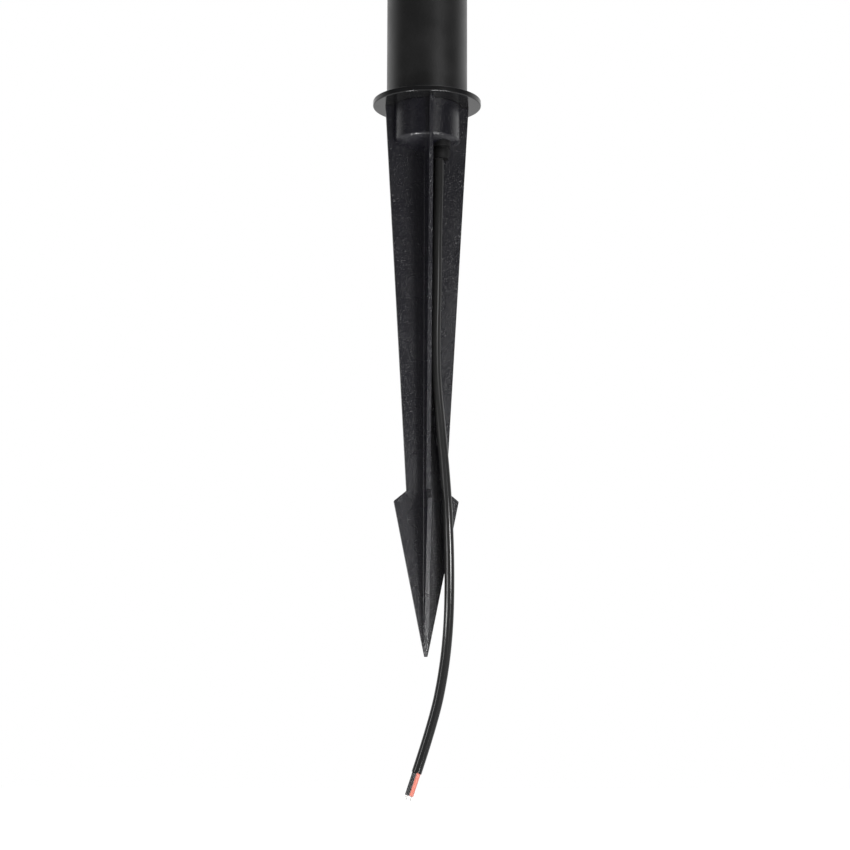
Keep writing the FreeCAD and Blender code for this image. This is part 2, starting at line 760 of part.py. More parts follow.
def reflector():
    """Trumpet that turns the board's light sideways, with a stub in the cap."""
    wide = REFLECTOR_DIAMETER / 2
    tip = REFLECTOR_TIP / 2
    low = cap_inner - REFLECTOR_HEIGHT
    stub = REFLECTOR_STUB_DIAMETER / 2
    bend = (tip + (wide - tip) * REFLECTOR_BEND_OUT, low + REFLECTOR_HEIGHT * REFLECTOR_BEND_UP)
    return turned(
        (0, low),
        [
            (tip, low),
            (bend, (wide, cap_inner)),
            (stub, cap_inner),
            (stub, cap_inner + REFLECTOR_STUB),
            (0, cap_inner + REFLECTOR_STUB),
        ],
    )


def tie_rods():
    """Threaded pillars between the head's base and its cap."""
    rods = []
    for angle in rod_angles:
        x, y = on_circle(ROD_CIRCLE / 2, angle)
        pillar = rod(ROD_DIAMETER / 2, deck_top, cap_inner, x, y)
        stud = rod(screw_r, deck_top - ROD_STUD_DEPTH, deck_top, x, y)
        thread = rod(screw_r + SCREW_FIT, cap_inner - SMALL_SCREW_LENGTH, cap_inner, x, y)
        rods.append(joined([pillar, stud]).cut(thread))
    return group(rods)


def countersunk(x, y, gap):
    """Outline of a screw down through the cap, or its hole when a gap is given."""
    low = cap_inner - SMALL_SCREW_LENGTH
    shank = screw_r + gap
    head = screw_head_r + gap
    outline = [(shank, low), (shank, cap_top - (head - shank)), (head, cap_top), (0, cap_top)]
    return turned((0, low), outline, x, y)


def head_cap():
    """Turned cap with a register in the diffuser and holes for the screws."""
    bend = CAP_ROUND * (1 - math.sqrt(0.5))
    stub = REFLECTOR_STUB_DIAMETER / 2 + SCREW_FIT
    body = turned(
        (0, cap_inner + REFLECTOR_STUB),
        [
            (stub, cap_inner + REFLECTOR_STUB),
            (stub, cap_inner),
            (register_r, cap_inner),
            (register_r, cap_bottom),
            (pole_r, cap_bottom),
            (pole_r, cap_top - CAP_ROUND),
            ((pole_r - bend, cap_top - bend), (pole_r - CAP_ROUND, cap_top)),
            (0, cap_top),
        ],
    )
    for angle in rod_angles:
        body = body.cut(countersunk(*on_circle(ROD_CIRCLE / 2, angle), SCREW_FIT))
    return body


def cap_screws():
    """Countersunk socket screws through the cap into the tie rods."""
    screws = []
    for angle in rod_angles:
        x, y = on_circle(ROD_CIRCLE / 2, angle)
        screws.append(countersunk(x, y, 0).cut(hex_socket(vec(x, y, cap_top), vec(0, 0, -1))))
    return group(screws)


def main():
    os.makedirs("parts", exist_ok=True)
    black_core, black_tip = core(1)
    red_core, red_tip = core(-1)
    save("ground_spike", ground_spike())
    save("cable_grommet", cable_grommet())
    save("lead_tie", lead_tie())
    save("spigot_seal", spigot_seal())
    save("inner_lead", inner_lead())
    save("supply_cable", supply_cable())
    save("core_black", black_core)
    save("core_red", red_core)
    save("bare_conductors", group([black_tip, red_tip]))
    save("base_flange", base_flange())
    save("pole_tube", pole_tube())
    save("lock_screw", lock_screw())
    save("terminal_block", terminal_block())
    save("driver_module", driver_module())
    save("driver_strip", driver_strip())
    save("driver_straps", driver_straps())
    save("strip_screws", strip_screws())
    save("driver_wires", driver_wires())
    save("board_wire_black", board_wire("board_wire_black", -1))
    save("board_wire_red", board_wire("board_wire_red", 1))
    save("head_base", head_base())
    save("base_seal", base_seal())
    save("wire_bush", wire_bush())
    save("led_board", led_board())
    save("led_chips", led_chips())
    save("board_screws", board_screws())
    save("lower_gasket", gasket(pole_top + BASE_RIM))
    save("upper_gasket", gasket(diffuser_top))
    save("diffuser", diffuser())
    save("reflector", reflector())
    save("tie_rods", tie_rods())
    save("head_cap", head_cap())
    save("cap_screws", cap_screws())


main()
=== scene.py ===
"""Spike bollard light, dressed for its photograph: finishes, rounded edges, cable and stage.

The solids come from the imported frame. Each operator finishes one piece or a group of like pieces.
"""

import math

import bmesh
import bpy
from mathutils import Matrix, Quaternion, Vector


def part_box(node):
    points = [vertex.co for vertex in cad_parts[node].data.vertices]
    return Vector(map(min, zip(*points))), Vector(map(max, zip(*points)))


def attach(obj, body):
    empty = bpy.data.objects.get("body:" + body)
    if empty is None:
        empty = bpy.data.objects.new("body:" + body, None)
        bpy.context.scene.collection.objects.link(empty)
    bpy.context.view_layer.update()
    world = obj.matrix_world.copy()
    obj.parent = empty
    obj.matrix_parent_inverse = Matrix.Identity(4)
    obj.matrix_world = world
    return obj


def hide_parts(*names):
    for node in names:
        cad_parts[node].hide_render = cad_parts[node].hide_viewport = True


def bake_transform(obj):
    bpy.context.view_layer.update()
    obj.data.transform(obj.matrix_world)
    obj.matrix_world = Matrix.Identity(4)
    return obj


bl_info = {
    "name": "Spike Bollard Light",
    "version": (1, 0, 0),
    "blender": (4, 5, 0),
    "location": "View3D > Sidebar > Bollard",
    "description": "Dresses the pole, flange, barbed spike, cable and head of a garden light",
    "category": "Object",
}

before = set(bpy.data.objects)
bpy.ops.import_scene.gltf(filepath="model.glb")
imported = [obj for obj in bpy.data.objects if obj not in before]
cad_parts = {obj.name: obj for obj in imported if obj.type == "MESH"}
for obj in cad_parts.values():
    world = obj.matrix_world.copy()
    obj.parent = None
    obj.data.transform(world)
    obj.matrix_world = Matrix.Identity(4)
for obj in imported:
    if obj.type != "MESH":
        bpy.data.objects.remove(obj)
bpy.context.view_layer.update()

MM = 0.001

# Free stretch of the cable below its straight start, in millimetres
CABLE_STRAIGHT = 17.5
CABLE_ROUTE = [
    (5.44, -9.3, -86.0),
    (5.29, -9.5, -118.0),
    (4.45, -9.7, -150.0),
    (4.96, -9.9, -176.0),
    (7.36, -10.0, -200.0),
    (9.87, -10.1, -226.0),
    (12.06, -10.3, -256.0),
    (13.05, -10.7, -290.0),
    (12.46, -11.2, -322.0),
    (9.37, -12.0, -350.0),
    (3.45, -13.0, -378.0),
    (-6.95, -14.4, -408.7),
]

# Lead inside the pole, in millimetres: the height up to which it stays still, and its points above
LEAD_HELD_TO = -14.0
LEAD_ROUTE = [(6.46, -9.2, 2.84), (7.0, 7.0, 60.42), (0.0, 0.0, 94.0), (0.0, 0.0, 118.0)]

# Stripped end of the cable, in millimetres
CORE_EDGE = 0.15
STRANDS = 7
STRAND_SIDES = 8
STRAND_STEPS = 10
STRAND_START = -0.2
STRAND_LENGTH = 2.7
STRAND_TWIST = math.radians(80)

# Hub of the spike, in millimetres: its radius, how near to it a point counts as on it, and the
# height of the band that holds its lower rim
HUB_RADIUS = 20.65
HUB_NEAR = 0.03
RIM_BAND = 0.1

# Ribs of the grommet, in millimetres: rounding, least radius and height of the stretch they lie in
RIB_ROUND = 0.7
RIB_RADIUS = 5.2
RIB_STRETCH = 8.0
RIB_TURN = math.radians(10)

# Meshes and curves: points nearer than this are one, faces flatter than this are one
MERGE = 1e-6
FLAT = math.radians(0.5)
CURVE_SIDES = 8
CURVE_STEPS = 16

# Grain: scale of the slow cloud as a share of the grain's, the cloud's range, and the span of the glint
# specks, painted glints on the grain's raised tops
CLOUD_SHARE = 0.04
CLOUD_RANGE = (0.3, 0.7)
GLINT_SPAN = 0.25

# Stage: lengths in metres, the sensor's in millimetres, turns and spreads in degrees. OPEN is the
# spread of a lamp that lights all in front of it
SENSOR_WIDTH = 36
FLOOR_RADIUS = 6
FLOOR_GREY = (0.5, 0.5, 0.5, 1)
FLOOR_SEEN = 0.85
FLOOR_MIRRORED = (0.4, 0.55)
FLOOR_RAMP = (-0.25, 0.15)
ROOM_RAMP = (-0.15, 0.55)
HORIZON_RAMP = (0.0, 0.06)
LAMP_RADIUS = 1.47
CARD_HEIGHT = -0.445
LEFT_TURNS = (50, 60, 70)
FRONT_TURNS = (22, 31, 40)
OPEN = 180


class BollardStage(bpy.types.PropertyGroup):
    """Camera, floor and lamps."""

    azimuth: bpy.props.FloatProperty(
        name="Azimuth", description="Turn of the camera round the pole", default=math.radians(-6.38),
        subtype="ANGLE",
    )
    climb: bpy.props.FloatProperty(
        name="Upward look", description="How steeply the camera looks up", default=math.radians(9.26),
        subtype="ANGLE",
    )
    roll: bpy.props.FloatProperty(
        name="Roll", description="Turn of the camera about its own axis", default=math.radians(0.126),
        subtype="ANGLE",
    )
    distance: bpy.props.FloatProperty(
        name="Distance", description="From the camera to the point it aims at", default=1.310,
        unit="LENGTH",
    )
    aim: bpy.props.FloatProperty(
        name="Aim height", description="Height on the axis that the camera aims at", default=-0.2001,
        unit="LENGTH",
    )
    lens: bpy.props.FloatProperty(
        name="Lens", description="Focal length in millimetres on a 36 mm sensor", default=91.44,
    )
    shift: bpy.props.FloatProperty(
        name="Shift", description="Sideways shift of the lens, as a share of the frame",
        default=-0.00153,
    )
    floor: bpy.props.FloatProperty(
        name="Floor", description="Height of the floor", default=-0.45, unit="LENGTH",
    )
    right_strip: bpy.props.FloatProperty(
        name="Right strip", description="Power of the low strip lamp at the right", default=6.6,
        unit="POWER",
    )
    front_lamp: bpy.props.FloatProperty(
        name="Front lamp", description="Power of the small lamp over the right strip", default=0.5,
        unit="POWER",
    )
    front_beam: bpy.props.FloatProperty(
        name="Front beams", description="Power of each narrow beam over the right strip", default=0.0024,
        unit="POWER",
    )
    left_strip: bpy.props.FloatProperty(
        name="Left strips", description="Power of each narrow beam at the left", default=0.026,
        unit="POWER",
    )
    left_panel: bpy.props.FloatProperty(
        name="Left panel", description="Power of the pale panel over the left strips", default=0.096,
        unit="POWER",
    )
    floor_card: bpy.props.FloatProperty(
        name="Floor cards", description="Power of each bright card on the floor in front", default=3.4,
        unit="POWER",
    )
    top: bpy.props.FloatProperty(
        name="Top lamp", description="Power of the lamp overhead", default=14.0, unit="POWER",
    )
    swing: bpy.props.FloatProperty(
        name="Room swing", description="Turn of the white surroundings towards the right",
        default=math.radians(7), subtype="ANGLE",
    )
    front: bpy.props.FloatProperty(
        name="Front shade", description="Level of the room's dark side, in front of the object",
        default=0.13,
    )


class BollardFinish(bpy.types.PropertyGroup):
    """Colours of the finishes."""

    coat: bpy.props.FloatVectorProperty(
        name="Pole coat", description="Powder coat of the pole and the head", subtype="COLOR",
        default=(0.0034, 0.0034, 0.0035),
    )
    satin: bpy.props.FloatVectorProperty(
        name="Flange coat", description="Smooth coat of the base flange", subtype="COLOR",
        default=(0.0050, 0.0050, 0.0053),
    )
    plastic: bpy.props.FloatVectorProperty(
        name="Spike plastic", description="Moulded plastic of the spike", subtype="COLOR",
        default=(0.0037, 0.0035, 0.0058),
    )
    sheath: bpy.props.FloatVectorProperty(
        name="Cable sheath", description="Outer sheath of the cable", subtype="COLOR",
        default=(0.0155, 0.0155, 0.0155),
    )
    black_core: bpy.props.FloatVectorProperty(
        name="Black core", description="Insulation of the black core", subtype="COLOR",
        default=(0.018, 0.018, 0.019),
    )
    red_core: bpy.props.FloatVectorProperty(
        name="Red core", description="Insulation of the red core", subtype="COLOR",
        default=(0.92, 0.27, 0.20),
    )
    opal: bpy.props.FloatVectorProperty(
        name="Diffuser", description="Opal plastic of the diffuser", subtype="COLOR",
        default=(0.86, 0.85, 0.82),
    )


class BollardSizes(bpy.types.PropertyGroup):
    """Sizes of edges, grain and small parts."""

    grain: bpy.props.FloatProperty(
        name="Spike grain", description="Size of the moulded grain on the spike", default=0.0011,
        unit="LENGTH",
    )
    grain_depth: bpy.props.FloatProperty(
        name="Grain depth", description="Depth of the moulded grain on the spike", default=0.00024,
        unit="LENGTH",
    )
    arris: bpy.props.FloatProperty(
        name="Spike arris", description="Rounding of the spike's outer edges", default=0.00075,
        unit="LENGTH",
    )
    hub_round: bpy.props.FloatProperty(
        name="Hub round", description="Rounding of the hub's lower rim", default=0.0010, unit="LENGTH",
    )
    turned_edge: bpy.props.FloatProperty(
        name="Turned edge", description="Rounding of the pole's and the head's edges", default=0.00035,
        unit="LENGTH",
    )
    bore_offset: bpy.props.FloatProperty(
        name="Bore offset", description="How far the cable lies off the grommet's middle",
        default=0.0011, unit="LENGTH",
    )
    cable: bpy.props.FloatProperty(
        name="Cable", description="Diameter of the cable's sheath", default=0.006, unit="LENGTH",
    )
    cable_length: bpy.props.FloatProperty(
        name="Cable length", description="Sheathed length below the grommet", default=0.375,
        unit="LENGTH",
    )
    strand: bpy.props.FloatProperty(
        name="Strand", description="Diameter of one strand of a conductor", default=0.00036,
        unit="LENGTH",
    )


def grain_group():
    """Node group: fine noise or raised worms as a height, a mask of specks on its raised tops for
    painted glints, and a slow cloud.
    """
    group = bpy.data.node_groups.get("Fine grain")
    if group:
        return group
    group = bpy.data.node_groups.new("Fine grain", "ShaderNodeTree")
    for name in ("Scale", "Worm share", "Glint level"):
        group.interface.new_socket(name, in_out="INPUT", socket_type="NodeSocketFloat")
    for name in ("Height", "Glint specks", "Cloud"):
        group.interface.new_socket(name, in_out="OUTPUT", socket_type="NodeSocketFloat")
    nodes, links = group.nodes, group.links
    entry = nodes.new("NodeGroupInput")
    leave = nodes.new("NodeGroupOutput")
    place = nodes.new("ShaderNodeTexCoord")
    fine = nodes.new("ShaderNodeTexNoise")
    fine.inputs["Detail"].default_value = 2.0
    fine.inputs["Roughness"].default_value = 0.6
    worm = nodes.new("ShaderNodeTexNoise")
    worm.noise_type = "RIDGED_MULTIFRACTAL"
    worm.inputs["Detail"].default_value = 1.0
    worm.inputs["Distortion"].default_value = 0.6
    height = nodes.new("ShaderNodeMix")
    slow = nodes.new("ShaderNodeMath")
    slow.operation = "MULTIPLY"
    slow.inputs[1].default_value = CLOUD_SHARE
    cloud = nodes.new("ShaderNodeTexNoise")
    cloud.inputs["Detail"].default_value = 3.0
    above = nodes.new("ShaderNodeMath")
    above.operation = "ADD"
    above.inputs[1].default_value = GLINT_SPAN
    # Mask of the painted glints: the grain's tops above the glint level
    glint_speck = nodes.new("ShaderNodeMapRange")
    for noise in (fine, worm, cloud):
        links.new(place.outputs["Object"], noise.inputs["Vector"])
    links.new(entry.outputs["Scale"], fine.inputs["Scale"])
    links.new(entry.outputs["Scale"], worm.inputs["Scale"])
    links.new(entry.outputs["Scale"], slow.inputs[0])
    links.new(slow.outputs[0], cloud.inputs["Scale"])
    links.new(entry.outputs["Worm share"], height.inputs["Factor"])
    links.new(fine.outputs["Fac"], height.inputs["A"])
    links.new(worm.outputs["Fac"], height.inputs["B"])
    links.new(entry.outputs["Glint level"], glint_speck.inputs["From Min"])
    links.new(entry.outputs["Glint level"], above.inputs[0])
    links.new(above.outputs[0], glint_speck.inputs["From Max"])
    links.new(height.outputs["Result"], glint_speck.inputs["Value"])
    links.new(height.outputs["Result"], leave.inputs["Height"])
    links.new(glint_speck.outputs["Result"], leave.inputs["Glint specks"])
    links.new(cloud.outputs["Fac"], leave.inputs["Cloud"])
    return group


def grained(name, colour, roughness, grain, depth, worm=0.0, glint_speck=0.6, swing=0.1, glint_lift=1.5, **fixed):
    """Material with fine grain: specks on the grain's raised tops lighten its colour as painted glints,
    a slow cloud varies its roughness.

    Grain and depth are in metres, worm is the share of raised worms in the grain, glint_speck the height
    where the painted glint specks start, swing the spread of the roughness, glint_lift how much lighter
    a painted glint speck is, and fixed sets plain sockets of the shader.
    """
    material = bpy.data.materials.get(name)
    if material:
        return material
    material = bpy.data.materials.new(name)
    material.use_nodes = True
    nodes, links = material.node_tree.nodes, material.node_tree.links
    shader = nodes["Principled BSDF"]
    group = nodes.new("ShaderNodeGroup")
    group.node_tree = grain_group()
    group.inputs["Scale"].default_value = 1 / grain
    group.inputs["Worm share"].default_value = worm
    group.inputs["Glint level"].default_value = glint_speck
    # Painted glints: the colour is lighter by glint_lift on the glint specks
    mix = nodes.new("ShaderNodeMix")
    mix.data_type = "RGBA"
    mix.inputs["A"].default_value = (*colour, 1)
    mix.inputs["B"].default_value = (*(min(1.0, c * glint_lift) for c in colour), 1)
    links.new(group.outputs["Glint specks"], mix.inputs["Factor"])
    links.new(mix.outputs["Result"], shader.inputs["Base Color"])
    rough = nodes.new("ShaderNodeMapRange")
    rough.inputs["From Min"].default_value, rough.inputs["From Max"].default_value = CLOUD_RANGE
    rough.inputs["To Min"].default_value = roughness - swing / 2
    rough.inputs["To Max"].default_value = roughness + swing / 2
    links.new(group.outputs["Cloud"], rough.inputs["Value"])
    links.new(rough.outputs["Result"], shader.inputs["Roughness"])
    bump = nodes.new("ShaderNodeBump")
    bump.inputs["Strength"].default_value = 1.0
    bump.inputs["Distance"].default_value = depth
    links.new(group.outputs["Height"], bump.inputs["Height"])
    links.new(bump.outputs["Normal"], shader.inputs["Normal"])
    for socket, value in fixed.items():
        shader.inputs[socket.replace("_", " ")].default_value = value
    return material


def powder_coat(scene):
    """Fine-textured black powder coat, with lighter specks on its grain as painted glints."""
    return grained("Powder coat", scene.bollard_finish.coat, 0.38, 0.0007, 0.00005, glint_lift=2.0)


def satin_coat(scene):
    """Smooth satin black coat."""
    return grained(
        "Satin coat", scene.bollard_finish.satin, 0.16, 0.0005, 0.000006, Specular_IOR_Level=0.35,
    )


def moulded_plastic(scene):
    """Black plastic with a spark-eroded grain, and strong painted glints as light specks on its raised
    worms.
    """
    sizes = scene.bollard_sizes
    # The high glint_lift paints the grain's glints into the colour
    return grained(
        "Moulded plastic", scene.bollard_finish.plastic, 0.26, sizes.grain, sizes.grain_depth, worm=0.7,
        glint_speck=0.62, glint_lift=3.5,
    )


def soft_rubber(scene):
    """Matt black rubber of the grommet and the seals."""
    return grained("Soft rubber", (0.003, 0.003, 0.003), 0.6, 0.0004, 0.00002, Specular_IOR_Level=0.15)


def cable_sheath(scene):
    """Smooth extruded sheath with a soft gloss."""
    return grained(
        "Cable sheath", scene.bollard_finish.sheath, 0.10, 0.0006, 0.000004, swing=0.02,
        Specular_IOR_Level=0.25,
    )


def black_insulation(scene):
    """Smooth black insulation of a core or wire."""
    return grained("Black insulation", scene.bollard_finish.black_core, 0.3, 0.0004, 0.000008)


def red_insulation(scene):
    """Smooth red insulation of a core or wire."""
    return grained("Red insulation", scene.bollard_finish.red_core, 0.34, 0.0004, 0.000008, glint_lift=1.1)


def tinned_copper(scene):
    """Bright tinned strands."""
    return grained("Tinned copper", (0.80, 0.79, 0.76), 0.32, 0.0003, 0.00001, Metallic=1.0)


def stainless(scene):
    """Plain steel of screws and rods."""
    return grained("Stainless steel", (0.56, 0.56, 0.57), 0.3, 0.0004, 0.000006, Metallic=1.0)


def plain_aluminium(scene):
    """Bare sheet of the driver's strip."""
    return grained("Plain aluminium", (0.72, 0.73, 0.74), 0.38, 0.0006, 0.000008, Metallic=1.0)


def opal_plastic(scene):
    """Diffusing plastic, white with a soft gloss."""
    return grained(
        "Opal plastic", scene.bollard_finish.opal, 0.36, 0.0006, 0.000006, swing=0.08, glint_lift=1.03,
        Subsurface_Weight=0.25, Subsurface_Scale=0.004,
    )


def white_nylon(scene):
    """Off-white nylon of ties, straps and terminals."""
    return grained("White nylon", (0.78, 0.77, 0.72), 0.5, 0.0006, 0.00001, glint_lift=1.05)


def board_mask(scene):
    """White solder mask of the board."""
    return grained("Board mask", (0.84, 0.84, 0.82), 0.3, 0.0006, 0.000004, swing=0.08, glint_lift=1.04)


def phosphor(scene):
    """Yellow top of the light chips."""
    return grained("Phosphor", (0.84, 0.66, 0.16), 0.4, 0.0003, 0.00001, glint_speck=0.5, glint_lift=1.1)


def gloss_white(scene):
    """Glossy white of the reflector."""
    return grained("Gloss white", (0.86, 0.86, 0.85), 0.22, 0.0008, 0.000004, swing=0.06, glint_lift=1.03)


def potting_case(scene):
    """Dark case of the driver."""
    return grained("Potting case", (0.03, 0.03, 0.03), 0.5, 0.0008, 0.00003)


def silicone(scene):
    """Grey silicone of the gaskets."""
    return grained("Grey silicone", (0.32, 0.32, 0.31), 0.55, 0.0006, 0.000008, glint_lift=1.1)


def keep_node(node, material):
    """Gives a CAD node that stays its material."""
    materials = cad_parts[node].data.materials
    materials.clear()
    materials.append(material)


def add_piece(name, mesh, material, nodes):
    """Puts a finished mesh in the scene, in place of its CAD nodes."""
    piece = bpy.data.objects.new(name, mesh)
    bpy.context.scene.collection.objects.link(piece)
    mesh.materials.append(material)
    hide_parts(*nodes)
    return piece


def smooth_mesh(name, shape, sharp=math.radians(32)):
    """Mesh from a bmesh, smooth apart from edges sharper than a given angle."""
    for face in shape.faces:
        face.smooth = True
    for edge in shape.edges:
        edge.smooth = not (len(edge.link_faces) == 2 and edge.calc_face_angle(0) > sharp)
    mesh = bpy.data.meshes.new(name)
    shape.to_mesh(mesh)
    shape.free()
    return mesh


def copied(node):
    """A CAD node's mesh as a merged copy with its flat faces whole again."""
    shape = bmesh.new()
    shape.from_mesh(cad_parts[node].data)
    bmesh.ops.remove_doubles(shape, verts=shape.verts, dist=MERGE)
    bmesh.ops.dissolve_limit(shape, angle_limit=FLAT, verts=shape.verts, edges=shape.edges)
    return shape


def outward_edges(shape, turn=math.radians(28)):
    """Edges where the surface turns outwards by more than an angle."""
    return [e for e in shape.edges if len(e.link_faces) == 2 and e.calc_face_angle_signed(0) > turn]


def rounded(shape, edges, width, segments=2):
    """Bevels some edges of a shape."""
    bmesh.ops.bevel(
        shape, geom=edges, offset=width, offset_type="OFFSET", segments=segments, profile=0.5,
        affect="EDGES", clamp_overlap=True, material=-1,
    )


def true_faces(piece):
    """Shades each large face by its own slope, so that its rounded edges don't bend the light on it."""
    normals = piece.modifiers.new("True faces", "WEIGHTED_NORMAL")
    normals.mode = "FACE_AREA"
    normals.weight = 100
    normals.keep_sharp = True


def edged(node, material, body, width, segments=2):
    """Copy of a CAD node with its outward edges rounded, in the node's place."""
    shape = copied(node)
    rounded(shape, outward_edges(shape), width, segments)
    piece = add_piece(node + "_edged", smooth_mesh(node + "_edged", shape), material, [node])
    true_faces(piece)
    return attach(piece, body)


def smooth_line(name, points, diameter, material):
    """Round curve along one smooth spline through control points, with closed ends."""
    data = bpy.data.curves.new(name, "CURVE")
    data.dimensions = "3D"
    data.bevel_depth = diameter / 2
    data.bevel_resolution = CURVE_SIDES
    data.resolution_u = CURVE_STEPS
    data.use_fill_caps = True
    spline = data.splines.new("NURBS")
    spline.points.add(len(points) - 1)
    for point, place in zip(spline.points, points):
        point.co = (*place, 1)
    spline.order_u = 3
    spline.use_endpoint_u = True
    data.materials.append(material)
    piece = bpy.data.objects.new(name, data)
    bpy.context.scene.collection.objects.link(piece)
    return piece


def cable_leaves(sizes):
    """Point where the cable leaves the grommet."""
    low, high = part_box("cable_grommet")
    return Vector(((low.x + high.x) / 2 - sizes.bore_offset, (low.y + high.y) / 2, low.z))


class BOLLARD_OT_stage(bpy.types.Operator):
    """Sets up the camera, the floor, the lamps and the white surroundings"""

    bl_idname = "bollard.stage"
    bl_label = "Stage"

    def execute(self, context):
        settings = context.scene.bollard_stage
        self.camera(context, settings)
        self.floor(context, settings)
        self.lamps(context, settings)
        self.surroundings(context, settings)
        context.scene.view_settings.view_transform = "Standard"
        return {"FINISHED"}

    def camera(self, context, settings):
        a, e = settings.azimuth, settings.climb
        back = Vector((math.sin(a) * math.cos(e), -math.cos(a) * math.cos(e), -math.sin(e)))
        camera = bpy.data.objects.new("Camera", bpy.data.cameras.new("Camera"))
        camera.data.lens = settings.lens
        camera.data.sensor_width = SENSOR_WIDTH
        camera.data.shift_x = settings.shift
        camera.location = Vector((0, 0, settings.aim)) + back * settings.distance
        turn = (-back).to_track_quat("-Z", "Y") @ Quaternion((0, 0, 1), settings.roll)
        camera.rotation_euler = turn.to_euler()
        context.scene.collection.objects.link(camera)
        context.scene.camera = camera

    def floor(self, context, settings):
        shape = bmesh.new()
        bmesh.ops.create_circle(shape, cap_ends=True, radius=FLOOR_RADIUS, segments=64)
        bmesh.ops.translate(shape, verts=shape.verts, vec=(0, 0, settings.floor))
        mesh = bpy.data.meshes.new("Floor")
        shape.to_mesh(mesh)
        shape.free()
        floor = bpy.data.objects.new("Floor", mesh)
        context.scene.collection.objects.link(floor)
        mesh.materials.append(self.floor_material())

    def floor_material(self):
        """Matt floor that shows white to the camera and in reflections, less its shadows."""
        material = bpy.data.materials.new("Pale floor")
        material.use_nodes = True
        nodes, links = material.node_tree.nodes, material.node_tree.links
        nodes.remove(nodes["Principled BSDF"])
        material.cycles.emission_sampling = "NONE"
        matt = nodes.new("ShaderNodeBsdfDiffuse")
        matt.inputs["Color"].default_value = FLOOR_GREY
        glow = nodes.new("ShaderNodeEmission")
        path = nodes.new("ShaderNodeLightPath")
        seen = nodes.new("ShaderNodeMath")
        seen.operation = "MAXIMUM"
        place = nodes.new("ShaderNodeTexCoord")
        split = nodes.new("ShaderNodeSeparateXYZ")
        level = nodes.new("ShaderNodeMix")
        level.inputs["B"].default_value = FLOOR_SEEN
        share = nodes.new("ShaderNodeMath")
        share.operation = "MULTIPLY"
        both = nodes.new("ShaderNodeAddShader")
        links.new(place.outputs["Object"], split.inputs[0])
        pale = self.ramp(nodes, links, split.outputs["Y"], FLOOR_RAMP, FLOOR_MIRRORED)
        links.new(pale, level.inputs["A"])
        links.new(path.outputs["Is Camera Ray"], level.inputs["Factor"])
        links.new(level.outputs["Result"], share.inputs[1])
        links.new(path.outputs["Is Camera Ray"], seen.inputs[0])
        links.new(self.mirrored(nodes, links, path), seen.inputs[1])
        links.new(seen.outputs[0], share.inputs[0])
        links.new(share.outputs[0], glow.inputs["Strength"])
        links.new(matt.outputs[0], both.inputs[0])
        links.new(glow.outputs[0], both.inputs[1])
        links.new(both.outputs[0], nodes["Material Output"].inputs["Surface"])
        return material

    def mirrored(self, nodes, links, path):
        """Mask of rays in reflections or through glass."""
        either = nodes.new("ShaderNodeMath")
        either.operation = "MAXIMUM"
        links.new(path.outputs["Is Glossy Ray"], either.inputs[0])
        links.new(path.outputs["Is Transmission Ray"], either.inputs[1])
        return either.outputs[0]

    def lamps(self, context, settings):
        """Lamps, each with its place, target, width, height, power and spread."""
        middle = (0, 0, settings.aim)
        foot = (0, 0, settings.floor)
        upper = (0, 0, settings.aim + 0.04)
        lamps = [
            ("Right strip", self.around(28, -0.086), middle, 0.5, 0.08, settings.right_strip, OPEN),
            ("Front lamp", self.around(24, 0.21), middle, 0.4, 0.12, settings.front_lamp, OPEN),
            ("Left panel", self.around(-58, 0.12), foot, 0.4, 0.36, settings.left_panel, 28),
            ("Right card", *self.card(0.17, -0.36), 0.16, 0.1, settings.floor_card, OPEN),
            ("Left card", *self.card(-0.31, -0.28), 0.16, 0.1, settings.floor_card, OPEN),
            ("Top", (0.3, -0.3, 1.7), middle, 1.4, 1.4, settings.top, OPEN),
        ]
        for turn in LEFT_TURNS:
            name = "Left strip %d" % turn
            lamps.append((name, self.around(-turn, -0.10), foot, 0.26, 0.06, settings.left_strip, 20))
        for turn in FRONT_TURNS:
            name = "Front beam %d" % turn
            lamps.append((name, self.around(turn, 0.21), upper, 0.22, 0.12, settings.front_beam, 14))
        for name, place, target, width, height, power, spread in lamps:
            lamp = bpy.data.lights.new(name, "AREA")
            lamp.shape = "RECTANGLE"
            lamp.size = width
            lamp.size_y = height
            lamp.energy = power
            lamp.spread = math.radians(spread)
            holder = bpy.data.objects.new(name, lamp)
            holder.location = place
            aim = Vector(target) - holder.location
            holder.rotation_euler = aim.to_track_quat("-Z", "Y").to_euler()
            context.scene.collection.objects.link(holder)

    def around(self, turn, height):
        """Place in front of the object, turned to the right by some degrees."""
        turn = math.radians(turn)
        return LAMP_RADIUS * math.sin(turn), -LAMP_RADIUS * math.cos(turn), height

    def card(self, x, y):
        """Place and target of a card that lies just over the floor and faces up."""
        return (x, y, CARD_HEIGHT), (x, y + 0.01, 1.0)

